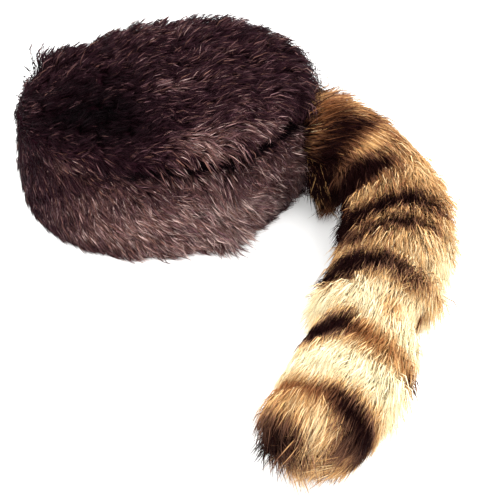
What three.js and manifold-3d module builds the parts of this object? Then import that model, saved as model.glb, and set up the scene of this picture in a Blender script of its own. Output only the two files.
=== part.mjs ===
import * as THREE from 'three';
import { mergeVertices } from 'three/addons/utils/BufferGeometryUtils.js';
import Module from 'manifold-3d';

// A fur cap with a ringed tail, in millimetres.
// It stands on its rim at z = 0, with the origin in the middle of the head opening.
// The front looks along -X, and the tail is sewn on at the back, towards +X.

// Hide of the cap
const RIM_LENGTH = 216;
const RIM_WIDTH = 168;
const SEAM_HEIGHT = 78;
const CROWN_RISE = 18;
const HIDE_THICKNESS = 2.4;
const OVAL_POWER = 2.1;
const SLOUCH = 0.1;

// Seam between the top panel and the band
const SEAM_GAP = 0.3;
const SEAM_ALLOWANCE = 7;
const PANEL_BULGE = 4.5;

// Fur locks of the cap
const LOCK_LENGTH = 23;
const LOCK_WIDTH = 15;
const LOCK_THICKNESS = 5;
const LOCK_RISE = 9;
const LOCK_SPACING = 21;
const FUR_DEPTH = 12;
const COMB = new THREE.Vector3(1, -0.3, -0.8);

// Tail
const TAIL_LENGTH = 338;
const TAIL_WIDTH = 63;
const TAIL_HEIGHT = 54;
const TAIL_ROOT_ANGLE = -26;
const TAIL_ROOT_HEIGHT = 58;
const TAIL_FUR_UNDER = 13.5;
const TAIL_LOCK_LENGTH = 34;
const TAIL_LOCK_WIDTH = 22;
const TAIL_LOCK_THICKNESS = 9;
const TAIL_LOCK_RISE = 15;
const TAIL_LOCK_SPACING = 27.5;

// Facets, and how deep a lock is rooted in what carries it
const CAP_SEGMENTS = 48;
const TAIL_SEGMENTS = 12;
const TAIL_STATIONS = 18;
const ROOT_SINK = 1.2;
const FLOOR_CLEARANCE = 0.5;

// Outside of the band, from the rim to the seam.
// height is a share of SEAM_HEIGHT, length and width are shares of the rim's.
const BAND_PROFILE = [
  { height: 0, length: 1, width: 1 },
  { height: 0.22, length: 1.012, width: 1.01 },
  { height: 0.5, length: 1.012, width: 0.985 },
  { height: 0.75, length: 0.992, width: 0.93 },
  { height: 0.92, length: 0.968, width: 0.87 },
  { height: 1, length: 0.955, width: 0.82 },
];

// Outside of the top panel, from the seam to the middle of the dome.
// spread is a share of PANEL_BULGE beyond the seam, reach a share of the way out
// from the middle, and rise a share of CROWN_RISE over the seam.
const PANEL_PROFILE = [
  { spread: 0, reach: 1, rise: 0.06 },
  { spread: 0.72, reach: 1, rise: 0.2 },
  { spread: 1, reach: 1, rise: 0.4 },
  { spread: 0.85, reach: 0.985, rise: 0.6 },
  { spread: 0.4, reach: 0.93, rise: 0.78 },
  { spread: 0, reach: 0.8, rise: 0.9 },
  { spread: 0, reach: 0.5, rise: 0.98 },
  { spread: 0, reach: 0.14, rise: 1 },
];

// Soft dents of the cap, as it stands by itself.
// angle and turn are in degrees round the cap, height and band are shares of
// SEAM_HEIGHT, and depth is a share of FUR_DEPTH.
const DENTS = [
  { angle: 119, height: 1.2, depth: 0.6, turn: 8, band: 0.3 },
  { angle: 134, height: 1.15, depth: -0.35, turn: 9, band: 0.25 },
  { angle: -150, height: 0.55, depth: 0.22, turn: 24, band: 0.35 },
  { angle: -70, height: 0.5, depth: -0.2, turn: 30, band: 0.4 },
  { angle: 70, height: 0.6, depth: 0.25, turn: 26, band: 0.45 },
];

// Sections of the tail from its root to its tip.
// along is a share of TAIL_LENGTH, heading is in degrees from +X, width and height
// are shares of TAIL_WIDTH and TAIL_HEIGHT, and perch is how far the middle is up
// from where it lies on the floor to the height of the root.
const TAIL_SECTIONS = [
  { along: 0, heading: -9, width: 0.5, height: 0.56, perch: 1 },
  { along: 0.08, heading: -28, width: 0.58, height: 0.64, perch: 1.36 },
  { along: 0.16, heading: -54, width: 0.72, height: 0.76, perch: 1.14 },
  { along: 0.25, heading: -87, width: 0.9, height: 0.92, perch: 0.56 },
  { along: 0.35, heading: -106, width: 1, height: 1, perch: 0.14 },
  { along: 0.45, heading: -124, width: 1, height: 1, perch: 0 },
  { along: 0.6, heading: -125, width: 1, height: 1, perch: 0 },
  { along: 0.75, heading: -128, width: 1.03, height: 1, perch: 0 },
  { along: 0.85, heading: -132, width: 1.04, height: 0.98, perch: -0.04 },
  { along: 0.9, heading: -129, width: 0.92, height: 0.86, perch: -0.14 },
  { along: 0.93, heading: -126, width: 0.56, height: 0.5, perch: -0.23 },
];

// A lock of fur, from its root to its tip.
// along is a share of the lock's length, size a share of its width and thickness,
// and lift a share of its rise over the hide.
const LOCK_SHAPE = [
  { along: 0, size: 1, lift: 0 },
  { along: 0.5, size: 0.85, lift: 0.72 },
  { along: 1, size: 0, lift: 1 },
];

const wasm = await Module();
wasm.setup();

// Solids for joining and cutting

function toSolid(geometry) {
  const bare = geometry.clone();
  bare.deleteAttribute('normal');
  bare.deleteAttribute('uv');
  const merged = mergeVertices(bare, 1e-4);
  const corners = [];
  for (let i = 0; i < merged.index.count; i += 3) {
    const [a, b, c] = [0, 1, 2].map((k) => merged.index.getX(i + k));
    if (a !== b && b !== c && c !== a) corners.push(a, b, c);
  }
  const mesh = new wasm.Mesh({
    numProp: 3,
    vertProperties: new Float32Array(merged.attributes.position.array),
    triVerts: new Uint32Array(corners),
  });
  return new wasm.Manifold(mesh);
}

function toGeometry(solid) {
  const mesh = solid.getMesh();
  const geometry = new THREE.BufferGeometry();
  geometry.setAttribute('position', new THREE.BufferAttribute(new Float32Array(mesh.vertProperties), 3));
  geometry.setIndex(new THREE.BufferAttribute(new Uint32Array(mesh.triVerts), 1));
  geometry.computeVertexNormals();
  return geometry;
}

function joinAll(solids) {
  return solids.reduce((sum, solid) => sum.add(solid));
}

// Reading the tables

function mix(a, b, t) {
  return a + (b - a) * t;
}

// A table read at a place between its rows, on a smooth curve through them.
function readTable(table, key, at) {
  const last = table.length - 1;
  const span = THREE.MathUtils.clamp(at, 0, last);
  const i = Math.min(Math.floor(span), last - 1);
  const t = span - i;
  const [a, b, c, d] = [i - 1, i, i + 1, i + 2].map((k) => table[THREE.MathUtils.clamp(k, 0, last)][key]);
  const slopeIn = (c - a) / 2;
  const slopeOut = (d - b) / 2;
  return (2 * t ** 3 - 3 * t ** 2 + 1) * b + (t ** 3 - 2 * t ** 2 + t) * slopeIn
    + (3 * t ** 2 - 2 * t ** 3) * c + (t ** 3 - t ** 2) * slopeOut;
}

// The place in a table, counted in rows, where a rising column has a value.
function rowAt(table, key, value) {
  const last = table.length - 1;
  for (let i = 0; i < last; i += 1) {
    const low = table[i][key];
    const high = table[i + 1][key];
    if (value <= high) return i + (value - low) / (high - low);
  }
  return last;
}

// A closed surface of rows of points, each row a function of the angle round it.
// Rows run up the outside and back down the inside, or from pole to pole.
function laid(rows, segments) {
  const profile = [...rows, rows[0]].map((_, j) => new THREE.Vector2(1, j));
  const geometry = new THREE.LatheGeometry(profile, segments);
  const position = geometry.attributes.position;
  for (let i = 0; i < position.count; i += 1) {
    const segment = Math.floor(i / profile.length) % segments;
    const place = rows[(i % profile.length) % rows.length];
    const point = place(segment / segments * 2 * Math.PI);
    position.setXYZ(i, point.x, point.y, point.z);
  }
  return toSolid(geometry);
}

function rowsOf(surface, count) {
  return Array.from({ length: count }, (_, row) => (angle) => surface(angle, row));
}

function normalOf(surface, angle, row) {
  const step = 0.01;
  const round = surface(angle + step, row).sub(surface(angle - step, row));
  const up = surface(angle, row + step).sub(surface(angle, row - step));
  return round.cross(up).normalize();
}

// The same surface, moved along its normals.
function shifted(surface, distance) {
  return (angle, row) => surface(angle, row).addScaledVector(normalOf(surface, angle, row), distance);
}

// Surfaces of the cap, each a function of an angle and a row of its table

function oval(angle, halfLength, halfWidth, height) {
  const bend = 2 / OVAL_POWER;
  const c = Math.cos(angle);
  const s = Math.sin(angle);
  return new THREE.Vector3(
    halfLength * Math.sign(c) * Math.abs(c) ** bend,
    halfWidth * Math.sign(s) * Math.abs(s) ** bend,
    height,
  );
}

// The cap stands lower at the front and has soft dents.
function settle(point) {
  const angle = Math.atan2(point.y / RIM_WIDTH, point.x / RIM_LENGTH);
  const outward = new THREE.Vector3(point.x, point.y, 0).normalize();
  let push = 0;
  for (const dent of DENTS) {
    const away = Math.abs(angle - THREE.MathUtils.degToRad(dent.angle));
    const turn = Math.min(away, 2 * Math.PI - away) / THREE.MathUtils.degToRad(dent.turn);
    const climb = (point.z / SEAM_HEIGHT - dent.height) / dent.band;
    push += dent.depth * FUR_DEPTH * Math.exp(-turn * turn - climb * climb);
  }
  point.addScaledVector(outward, -push);
  point.z *= 1 + SLOUCH * 2 * point.x / RIM_LENGTH;
  return point;
}

function bandSurface(angle, row) {
  const halfLength = readTable(BAND_PROFILE, 'length', row) * RIM_LENGTH / 2;
  const halfWidth = readTable(BAND_PROFILE, 'width', row) * RIM_WIDTH / 2;
  const height = readTable(BAND_PROFILE, 'height', row) * SEAM_HEIGHT;
  return settle(oval(angle, halfLength, halfWidth, height));
}

const SEAM = {
  halfLength: BAND_PROFILE.at(-1).length * RIM_LENGTH / 2,
  halfWidth: BAND_PROFILE.at(-1).width * RIM_WIDTH / 2,
};

function panelSurface(angle, row) {
  const spread = readTable(PANEL_PROFILE, 'spread', row) * PANEL_BULGE;
  const reach = readTable(PANEL_PROFILE, 'reach', row);
  const height = SEAM_HEIGHT + readTable(PANEL_PROFILE, 'rise', row) * CROWN_RISE;
  return settle(oval(angle, SEAM.halfLength * reach + spread, SEAM.halfWidth * reach + spread, height));
}

// The panel's edge, turned down inside the band.
function flangeRow(drop, inset) {
  const height = SEAM_HEIGHT - drop;
  return (angle) => settle(oval(angle, SEAM.halfLength - inset, SEAM.halfWidth - inset, height));
}

// A straight oval column, as wide as the cap with its fur.
function column(grow) {
  const halfLength = RIM_LENGTH / 2 + FUR_DEPTH + grow;
  const halfWidth = RIM_WIDTH / 2 + FUR_DEPTH + grow;
  const reach = 4 * SEAM_HEIGHT;
  const rows = [
    () => new THREE.Vector3(0, 0, -reach),
    (angle) => oval(angle, halfLength, halfWidth, -reach),
    (angle) => oval(angle, halfLength, halfWidth, reach),
    () => new THREE.Vector3(0, 0, reach),
  ];
  return laid(rows, CAP_SEGMENTS);
}

// All that lies under or over the seam's plane, which leans with the slouch.
function seamSide(isAbove, offset) {
  const size = 4 * RIM_LENGTH;
  const box = new THREE.BoxGeometry(size, size, size);
  box.translate(0, 0, isAbove ? size / 2 : -size / 2);
  box.rotateY(-Math.atan(SEAM_HEIGHT * SLOUCH * 2 / RIM_LENGTH));
  box.translate(0, 0, SEAM_HEIGHT + offset);
  return toSolid(box);
}

// Locks of fur

const CAP_LOCK = { length: LOCK_LENGTH, width: LOCK_WIDTH, thickness: LOCK_THICKNESS, rise: LOCK_RISE };
const TAIL_LOCK = {
  length: TAIL_LOCK_LENGTH,
  width: TAIL_LOCK_WIDTH,
  thickness: TAIL_LOCK_THICKNESS,
  rise: TAIL_LOCK_RISE,
};

// How far a surface bends away under a straight line that leaves it along the flow.
function fallAway(surface, angle, row, normal, flow, distance) {
  const step = 0.01;
  const base = surface(angle, row);
  const round = surface(angle + step, row).sub(surface(angle - step, row)).divideScalar(2 * step);
  const up = surface(angle, row + step).sub(surface(angle, row - step)).divideScalar(2 * step);
  const [rr, ru, uu] = [round.dot(round), round.dot(up), up.dot(up)];
  const [fr, fu] = [flow.dot(round) * distance, flow.dot(up) * distance];
  const scale = rr * uu - ru * ru;
  const reached = surface(angle + (fr * uu - fu * ru) / scale, row + (fu * rr - fr * ru) / scale);
  return Math.max(0, base.addScaledVector(flow, distance).sub(reached).dot(normal));
}

// A bent three-sided wedge, rooted in the hide and lying along the flow.
function lock(surface, angle, row, flow, size) {
  const base = surface(angle, row);
  const normal = normalOf(surface, angle, row);
  const side = new THREE.Vector3().crossVectors(flow, normal).normalize();
  const geometry = new THREE.ConeGeometry(1, 1, 3, LOCK_SHAPE.length - 1);
  const position = geometry.attributes.position;
  for (let i = 0; i < position.count; i += 1) {
    const section = LOCK_SHAPE[Math.round((position.getY(i) + 0.5) * (LOCK_SHAPE.length - 1))];
    const across = Math.hypot(position.getX(i), position.getZ(i)) || 1;
    const ridge = section.along > 0 ? normal : flow.clone().negate();
    const reach = size.length * section.along;
    const lift = mix(-ROOT_SINK, size.rise, section.lift) - fallAway(surface, angle, row, normal, flow, reach);
    const point = base.clone()
      .addScaledVector(normal, lift)
      .addScaledVector(flow, reach)
      .addScaledVector(side, position.getX(i) / across * section.size * size.width / 2)
      .addScaledVector(ridge, position.getZ(i) / across * section.size * size.thickness / 2);
    point.z = Math.max(point.z, FLOOR_CLEARANCE);
    position.setXYZ(i, point.x, point.y, point.z);
  }
  return toSolid(geometry);
}

// The way the cap's fur lies on a surface with this normal.
function combed(normal) {
  return COMB.clone().addScaledVector(normal, -COMB.dot(normal)).normalize();
}

// Rows of a surface that lie evenly spaced along it, the first and last of them
// set in from its ends by a share of the spacing.
function evenRows(surface, firstRow, lastRow, spacing, margin) {
  const steps = 120;
  const lengths = [0];
  for (let i = 0; i < steps; i += 1) {
    const from = surface(Math.PI / 4, mix(firstRow, lastRow, i / steps));
    const to = surface(Math.PI / 4, mix(firstRow, lastRow, (i + 1) / steps));
    lengths.push(lengths[i] + from.distanceTo(to));
  }
  const count = Math.max(2, Math.round(lengths[steps] / spacing));
  return Array.from({ length: count }, (_, k) => {
    const target = lengths[steps] * (k + margin) / (count - 1 + 2 * margin);
    const step = lengths.findIndex((length) => length >= target);
    return mix(firstRow, lastRow, step / steps);
  });
}

// Length of the line round a surface at one of its rows.
function girth(surface, row) {
  const across = surface(0, row).distanceTo(surface(Math.PI, row));
  const over = surface(Math.PI / 2, row).distanceTo(surface(-Math.PI / 2, row));
  return Math.PI * (across + over) / 2;
}

// Staggered rows of locks over a surface, combed by flowAt.
// A lock that has no room is made shorter, or left out where its root has none.
function furOn(surface, rows, flowAt, size, spacing, hasRoom) {
  const locks = [];
  rows.forEach((row, r) => {
    const count = Math.max(3, Math.round(girth(surface, row) / spacing));
    for (let k = 0; k < count; k += 1) {
      const angle = (k + (r % 2) / 2) / count * 2 * Math.PI;
      const flow = flowAt(normalOf(surface, angle, row), angle, row);
      const root = surface(angle, row);
      const share = [1, 0.75, 0.5].find((part) => hasRoom(root, flow, size.length * part));
      if (share) locks.push(lock(surface, angle, row, flow, { ...size, length: size.length * share }));
    }
  });
  return joinAll(locks);
}

// Tail

const TAIL_ROOT = bandSurface(
  THREE.MathUtils.degToRad(TAIL_ROOT_ANGLE),
  rowAt(BAND_PROFILE, 'height', TAIL_ROOT_HEIGHT / SEAM_HEIGHT),
);

// The middle of the core, found by walking along the headings from the root.
function tailCentre(row) {
  const along = readTable(TAIL_SECTIONS, 'along', row) * TAIL_LENGTH;
  const strides = 60;
  const lying = TAIL_HEIGHT / 2 + TAIL_FUR_UNDER;
  const height = mix(lying, TAIL_ROOT_HEIGHT, readTable(TAIL_SECTIONS, 'perch', row));
  const point = new THREE.Vector3(TAIL_ROOT.x, TAIL_ROOT.y, height);
  for (let i = 0; i < strides; i += 1) {
    const share = (i + 0.5) / strides * along / TAIL_LENGTH;
    const heading = readTable(TAIL_SECTIONS, 'heading', rowAt(TAIL_SECTIONS, 'along', share));
    point.x += along / strides * Math.cos(THREE.MathUtils.degToRad(heading));
    point.y += along / strides * Math.sin(THREE.MathUtils.degToRad(heading));
  }
  return point;
}

function tailSurface(angle, row, grow = 0) {
  const heading = THREE.MathUtils.degToRad(readTable(TAIL_SECTIONS, 'heading', row));
  const halfWidth = readTable(TAIL_SECTIONS, 'width', row) * TAIL_WIDTH / 2 + grow;
  const halfHeight = readTable(TAIL_SECTIONS, 'height', row) * TAIL_HEIGHT / 2 + grow;
  const side = new THREE.Vector3(-Math.sin(heading), Math.cos(heading), 0);
  return tailCentre(row)
    .addScaledVector(side, halfWidth * Math.cos(angle))
    .add(new THREE.Vector3(0, 0, halfHeight * Math.sin(angle)));
}

function tailFlow(normal, angle, row) {
  const step = 0.01;
  return tailSurface(angle, row + step).sub(tailSurface(angle, row - step)).normalize();
}

// The core, from inside the cap to the tip, with its sides moved out by grow.
function tailCore(grow) {
  const lastRow = TAIL_SECTIONS.length - 1;
  const heading = THREE.MathUtils.degToRad(TAIL_SECTIONS[0].heading);
  const back = new THREE.Vector3(Math.cos(heading), Math.sin(heading), 0).multiplyScalar(-TAIL_WIDTH / 3);
  const rows = [
    () => tailCentre(0).add(back),
    (angle) => tailSurface(angle, 0, grow).add(back),
  ];
  for (let i = 0; i <= TAIL_STATIONS; i += 1) {
    rows.push((angle) => tailSurface(angle, lastRow * i / TAIL_STATIONS, grow));
  }
  rows.push(() => tailCentre(lastRow));
  return laid(rows, TAIL_SEGMENTS);
}

// Pieces

const BAND_ROWS = BAND_PROFILE.length;
const PANEL_ROWS = PANEL_PROFILE.length;
const PARTING = PANEL_PROFILE[0].rise * CROWN_RISE / 2;
const DOME_TOP = SEAM_HEIGHT + CROWN_RISE;

function bandHide() {
  const inner = shifted(bandSurface, -HIDE_THICKNESS);
  const rimInside = (angle) => inner(angle, 0).setZ(0);
  return laid([
    ...rowsOf(bandSurface, BAND_ROWS),
    ...rowsOf(inner, BAND_ROWS).slice(1).reverse(),
    rimInside,
  ], CAP_SEGMENTS);
}

function panelHide() {
  const inner = shifted(panelSurface, -HIDE_THICKNESS);
  const inset = HIDE_THICKNESS + SEAM_GAP;
  return laid([
    flangeRow(SEAM_ALLOWANCE, inset),
    flangeRow(-SEAM_GAP, inset),
    ...rowsOf(panelSurface, PANEL_ROWS),
    () => settle(new THREE.Vector3(0, 0, DOME_TOP)),
    () => settle(new THREE.Vector3(0, 0, DOME_TOP - HIDE_THICKNESS)),
    ...rowsOf(inner, PANEL_ROWS).slice(1).reverse(),
    flangeRow(-HIDE_THICKNESS, inset + HIDE_THICKNESS),
    flangeRow(SEAM_ALLOWANCE, inset + HIDE_THICKNESS),
  ], CAP_SEGMENTS);
}

// The whole cap as one filled body, grown by the gap that the tail keeps to it.
function capFilled() {
  return laid([
    () => new THREE.Vector3(0, 0, 0),
    ...rowsOf(shifted(bandSurface, SEAM_GAP), BAND_ROWS),
    ...rowsOf(shifted(panelSurface, SEAM_GAP), PANEL_ROWS),
    () => new THREE.Vector3(0, 0, DOME_TOP + SEAM_GAP),
  ], CAP_SEGMENTS);
}

// Whether a cap lock stays clear of the tail's root, sewn on over the band.
function clearOfTail(root, flow, length) {
  const heading = THREE.MathUtils.degToRad(TAIL_SECTIONS[0].heading);
  const side = new THREE.Vector3(-Math.sin(heading), Math.cos(heading), 0);
  const middle = tailCentre(0);
  const halfWidth = (TAIL_SECTIONS[1].width * TAIL_WIDTH + LOCK_WIDTH) / 2;
  const halfHeight = (TAIL_SECTIONS[1].height * TAIL_HEIGHT + LOCK_WIDTH) / 2;
  return [0, 0.5, 1].every((part) => {
    const away = root.clone().addScaledVector(flow, length * part).sub(middle);
    const behind = away.x < -TAIL_WIDTH;
    return behind || Math.hypot(away.dot(side) / halfWidth, away.z / halfHeight) > 1;
  });
}

// Whether a tail lock is rooted outside the cap's own fur.
function clearOfCap(root) {
  const halfLength = RIM_LENGTH / 2 + FUR_DEPTH + ROOT_SINK;
  const halfWidth = RIM_WIDTH / 2 + FUR_DEPTH + ROOT_SINK;
  return Math.abs(root.x / halfLength) ** OVAL_POWER + Math.abs(root.y / halfWidth) ** OVAL_POWER > 1;
}

function makeBand() {
  const rows = evenRows(bandSurface, 0, BAND_ROWS - 1, LOCK_SPACING, 0.5);
  const fur = furOn(bandSurface, rows, combed, CAP_LOCK, LOCK_SPACING, clearOfTail)
    .subtract(seamSide(true, PARTING - SEAM_GAP / 2))
    .subtract(tailCore(SEAM_GAP));
  return bandHide().add(fur);
}

function makePanel() {
  const rows = evenRows(panelSurface, 1, PANEL_ROWS - 1, LOCK_SPACING, 0.5);
  const fur = furOn(panelSurface, rows, combed, CAP_LOCK, LOCK_SPACING, clearOfTail)
    .subtract(seamSide(false, PARTING + SEAM_GAP / 2))
    .subtract(tailCore(SEAM_GAP));
  return panelHide().add(fur);
}

function makeTail() {
  const firstRow = rowAt(TAIL_SECTIONS, 'along', (FUR_DEPTH + TAIL_LOCK_THICKNESS) / TAIL_LENGTH);
  const rows = evenRows(tailSurface, firstRow, TAIL_SECTIONS.length - 1, TAIL_LOCK_SPACING, 0);
  const fur = furOn(tailSurface, rows, tailFlow, TAIL_LOCK, TAIL_LOCK_SPACING, clearOfCap)
    .subtract(column(SEAM_GAP));
  return tailCore(0).subtract(capFilled()).add(fur);
}

function piece(name, solid, colour, roughness) {
  const material = new THREE.MeshStandardMaterial({ color: colour, roughness, metalness: 0 });
  const mesh = new THREE.Mesh(toGeometry(solid), material);
  mesh.name = name;
  return mesh;
}

const group = new THREE.Group();
group.add(piece('top_panel', makePanel(), 0x2a1a1c, 0.85));
group.add(piece('side_band', makeBand(), 0x4a3230, 0.85));
group.add(piece('tail', makeTail(), 0xc79a5e, 0.9));

export default group;
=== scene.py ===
import math

import bmesh
import bpy
import numpy as np
from bpy.props import FloatProperty, FloatVectorProperty, IntProperty, PointerProperty
from mathutils import Matrix, Vector
from mathutils.bvhtree import BVHTree
from mathutils.kdtree import KDTree


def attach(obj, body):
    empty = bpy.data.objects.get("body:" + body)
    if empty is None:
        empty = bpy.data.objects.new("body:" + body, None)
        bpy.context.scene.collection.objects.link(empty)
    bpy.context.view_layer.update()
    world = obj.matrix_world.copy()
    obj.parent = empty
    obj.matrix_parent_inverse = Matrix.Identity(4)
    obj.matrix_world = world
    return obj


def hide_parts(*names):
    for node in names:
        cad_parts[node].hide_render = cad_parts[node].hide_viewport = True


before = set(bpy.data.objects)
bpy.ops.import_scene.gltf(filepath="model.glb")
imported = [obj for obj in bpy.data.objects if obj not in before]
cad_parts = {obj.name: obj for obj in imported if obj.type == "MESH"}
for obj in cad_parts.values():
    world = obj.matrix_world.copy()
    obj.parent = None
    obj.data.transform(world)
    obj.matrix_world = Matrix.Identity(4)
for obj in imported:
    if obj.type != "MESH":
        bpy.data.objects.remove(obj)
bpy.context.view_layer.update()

bl_info = {
    "name": "Coonskin Cap",
    "version": (1, 0, 0),
    "blender": (4, 5, 0),
    "location": "View3D > Sidebar > Fur Cap",
    "description": "A fur cap with a ringed tail: sewn hides, and fur in single tufts of hair",
    "category": "Add Mesh",
}

MM = 0.001
TAU = 2 * math.pi

# The way the cap's fur is brushed: to the back (+X), a little to -Y, and down.
COMB = np.array([1, -0.3, -0.8])

# How far from the root to the tip of a hair its five corners are. It bends at its
# widest place, where three of them are.
BEND = 0.42
KNOTS = np.array([0, BEND, BEND, BEND, 1])

# Least and most that a hair's size, a tuft, a hair's rise and its width may be, the
# rise of a stray hair and how much the widths differ, as shares of the usual.
SIZE_LIMITS = (0.5, 1.35)
TUFT_LIMITS = (0.4, 1.8)
RISE_LIMITS = (0.1, 1.6)
WIDTH_LIMITS = (0.5, 1.6)
STRAY_RISE = 1.25
WIDTH_SPREAD = 0.25

# Room that hair keeps over the floor.
FLOOR_ROOM = 0.8 * MM

# The fullest that the cap's fur gets, as a share of its rise, and how far round the
# root of the tail it is fuller.
FULLEST = 2.8
ROOT_REACH = 22 * MM

# How much each coat is turned against the one below it, so that hairs don't line up.
COAT_TURN = 0.7

# A coat of hair ends this part of a row short of its surface's pole.
POLE_GAP = 0.02

# Steps down and round a surface that spread places evenly without a pattern.
EVEN_STEPS = (0.7548776662, 0.5698402910)

# Cell of a hair in the UV map: its height over its width, and its margin.
CELL_SHAPE = 3.2
CELL_MARGIN = 0.16

# Corners round each hide, and rings along it.
CAP_SEGMENTS, BAND_RINGS, PANEL_RINGS = 120, 16, 25
TAIL_SEGMENTS, TAIL_RINGS = 64, 48

# Stage, in metres: the side of the floor, the lamp's place and size, and the point
# that the camera looks at. Its sensor is in millimetres.
FLOOR_SIDE = 12
LAMP_PLACE = (0.75, -0.55, 1.3)
LAMP_SIZE = 0.9
CAMERA_AIM = (32.8 * MM, -123.4 * MM, 40 * MM)
SENSOR = 36


def table(*columns, rows):
    """Rows under the names of their columns."""
    return [dict(zip(columns, row)) for row in rows]


# Outside of the band, from the rim to the seam.
# height is a share of the seam's height, length and width are shares of the rim's.
BAND_PROFILE = table("height", "length", "width", rows=[
    (0, 1, 1),
    (0.22, 1.012, 1.01),
    (0.5, 1.012, 0.985),
    (0.75, 0.992, 0.93),
    (0.92, 0.968, 0.87),
    (1, 0.955, 0.82),
])

# Outside of the top panel, from the seam to the middle of the dome.
# spread is a share of the bulge beyond the seam, reach a share of the way out
# from the middle, and rise a share of the dome's height over the seam.
PANEL_PROFILE = table("spread", "reach", "rise", rows=[
    (0, 1, 0.06),
    (0.72, 1, 0.2),
    (1, 1, 0.4),
    (0.85, 0.985, 0.6),
    (0.4, 0.93, 0.78),
    (0, 0.8, 0.9),
    (0, 0.5, 0.98),
    (0, 0.14, 1),
    (0, 0, 1),
])

# Soft dents of the cap. angle and turn are in degrees round it, height and band
# are shares of the seam's height, and depth is a share of the fur's depth.
DENTS = table("angle", "height", "depth", "turn", "band", rows=[
    (119, 1.2, 0.6, 8, 0.3),
    (134, 1.15, -0.35, 9, 0.25),
    (-150, 0.55, 0.22, 24, 0.35),
    (-70, 0.5, -0.2, 30, 0.4),
    (70, 0.6, 0.25, 26, 0.45),
])

# Sections of the tail from its root to its tip.
# along is a share of the tail's length, heading is in degrees from +X, width and
# height are shares of the core's, and perch is how far the middle is up from
# where it lies on the floor to the height of the root.
TAIL_SECTIONS = table("along", "heading", "width", "height", "perch", rows=[
    (0, -9, 0.5, 0.56, 1),
    (0.08, -28, 0.58, 0.64, 1.36),
    (0.16, -54, 0.72, 0.76, 1.14),
    (0.25, -87, 0.9, 0.92, 0.56),
    (0.35, -106, 1, 1, 0.14),
    (0.45, -124, 1, 1, 0),
    (0.6, -125, 1, 1, 0),
    (0.75, -128, 1.03, 1, 0),
    (0.85, -132, 1.04, 0.98, -0.04),
    (0.9, -129, 0.92, 0.86, -0.14),
    (0.93, -126, 0.56, 0.5, -0.23),
])

# The last rows of TAIL_SECTIONS, in which the tail rounds off at its tip.
TIP_ROWS = 3

# Fur of the tail. left and right are how far it stands off on the tail's own left
# and right, and length is a share of the hair's.
TAIL_FUR = table("along", "left", "right", "length", rows=[
    (0, 0.8, 0.8, 0.9),
    (0.07, 1.6, 0.9, 1.2),
    (0.13, 0.45, 0.9, 0.9),
    (0.22, 0.15, 0.8, 0.85),
    (0.28, 0.65, 0.7, 0.85),
    (0.34, 1.1, 0.8, 0.8),
    (0.45, 1.35, 0.7, 0.9),
    (0.5, 0.7, 0.55, 1),
    (0.55, 1.5, 0.9, 1.1),
    (0.585, 0.5, 0.7, 0.8),
    (0.63, 0.1, 1.1, 0.9),
    (0.67, 0.8, 0.3, 0.9),
    (0.71, 1.1, 0.1, 0.9),
    (0.75, 1.1, 0.3, 0.95),
    (0.82, 0.95, 0.25, 0.95),
    (0.88, 0.4, 0.3, 1),
    (0.96, 0.5, 1.6, 1.35),
])

# Ground colour of the tail between its rings, by shares of its length. dark is 0 for
# the palest hair and 1 for black, and warm is how golden or orange it is.
TAIL_GROUND = table("along", "warm", "dark", rows=[
    (0, 0.3, 0.97),
    (0.03, 0.4, 0.85),
    (0.055, 0.6, 0.45),
    (0.1, 0.6, 0.5),
    (0.2, 0.55, 0.46),
    (0.3, 0.55, 0.42),
    (0.36, 0.55, 0.42),
    (0.42, 0.5, 0.34),
    (0.5, 0.45, 0.3),
    (0.57, 0.2, 0.12),
    (0.65, 0.05, 0),
    (0.82, 0, 0),
    (0.89, 0.5, 0.18),
    (1.05, 0.5, 0.24),
])

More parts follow.
